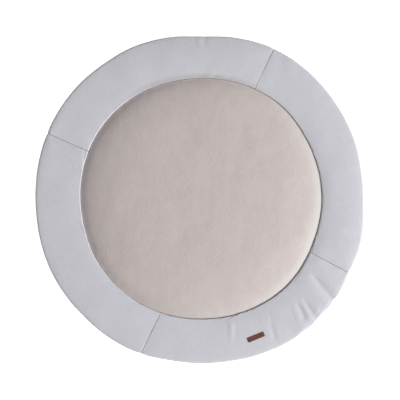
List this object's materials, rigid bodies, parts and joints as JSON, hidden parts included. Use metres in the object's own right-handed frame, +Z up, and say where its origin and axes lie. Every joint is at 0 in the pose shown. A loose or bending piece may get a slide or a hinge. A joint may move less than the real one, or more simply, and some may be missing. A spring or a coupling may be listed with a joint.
{
  "type": "round baby play mat",
  "caption": "Round padded play mat: a soft pile centre pad sewn inside a flatter filled ring of cotton panels, with a small leather tag.",
  "frame": {"origin": "on the floor, under the middle of the mat", "axes": "+Z up through the mat's thickness; seen from above +X is the right and +Y the top, with the tag near the lower edge"},
  "size_m": [0.8965, 0.8944, 0.0425],
  "materials": {
    "pad_pile": "short soft pile",
    "ring_cotton": "plain woven cotton",
    "back_cotton": "plain woven cotton",
    "tag_leather": "smooth vegetable-tanned"
  },
  "bodies": {
    "root": {"centre_pad": "pad_pile", "ring_panel_right": "ring_cotton", "ring_panel_top": "ring_cotton", "ring_panel_left": "ring_cotton", "ring_panel_bottom": "ring_cotton", "back_cloth": "back_cotton", "tag": "tag_leather"}
  },
  "joints": []
}
